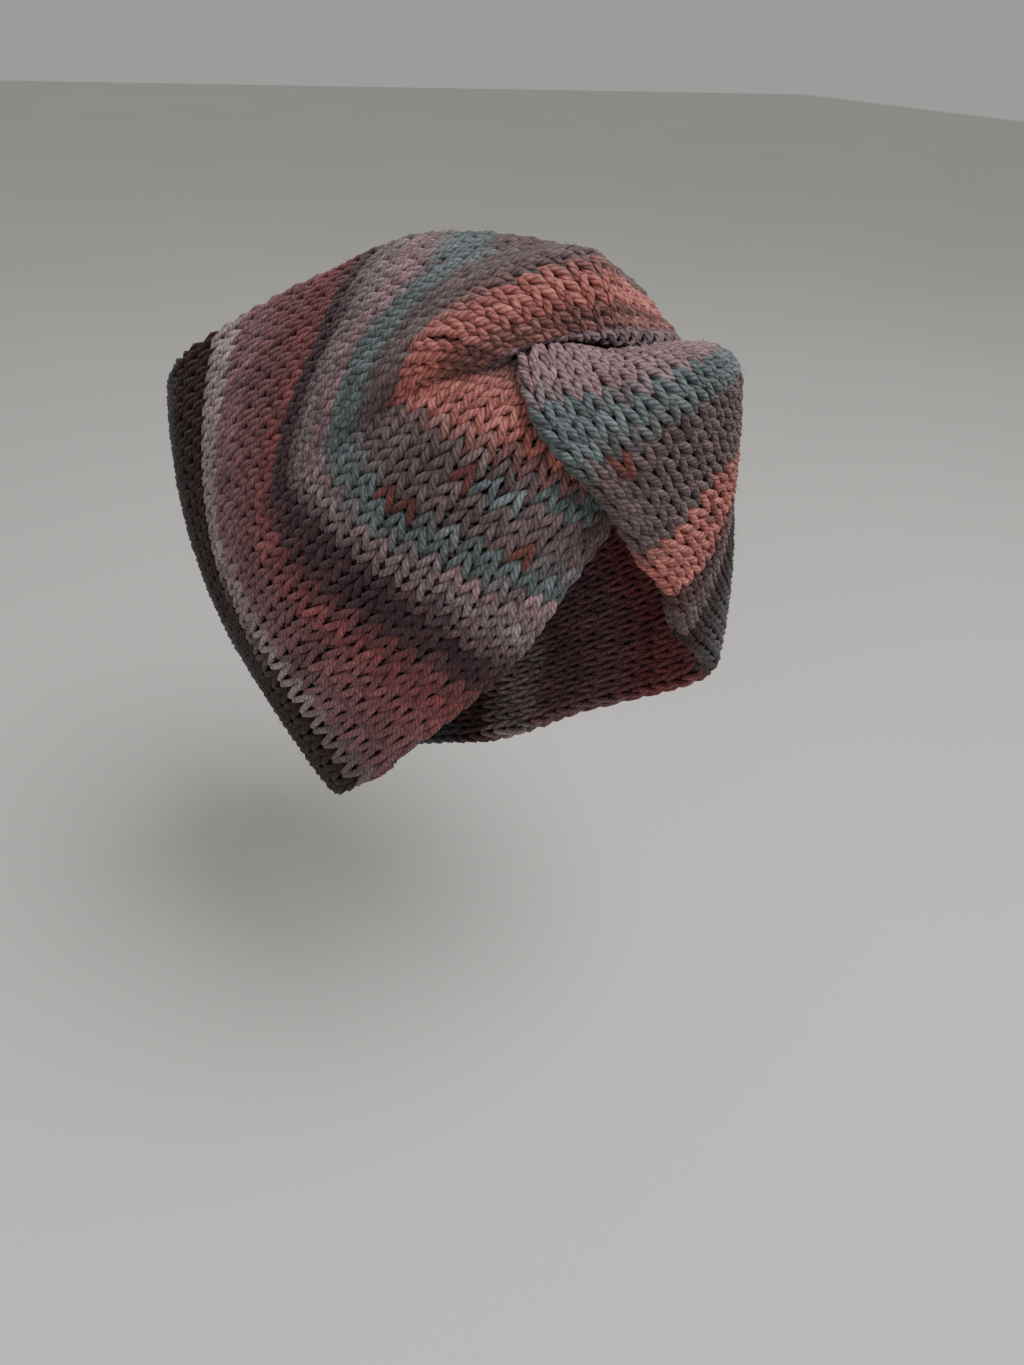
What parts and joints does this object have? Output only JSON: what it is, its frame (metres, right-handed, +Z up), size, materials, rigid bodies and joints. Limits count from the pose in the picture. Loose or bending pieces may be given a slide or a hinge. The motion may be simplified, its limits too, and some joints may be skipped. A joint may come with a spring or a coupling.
{
  "type": "knitted ear warmer",
  "caption": "Wide double-layer knitted headband with a crossed twist over the forehead, open at the crown and the neck.",
  "frame": {"origin": "the middle of the head that wears it, on the left-right middle plane, level with the brow side of the hollow", "axes": "+Z up towards the crown, -Y towards the face and the twist, +X towards the wearer's left"},
  "size_m": [0.1929, 0.2142, 0.2417],
  "materials": {
    "knit": "matte, softly fuzzy plied yarn in stripes of rose, coral, mauve, brown, grey, teal and off-white"
  },
  "bodies": {
    "root": {"band": "knit"}
  },
  "joints": []
}
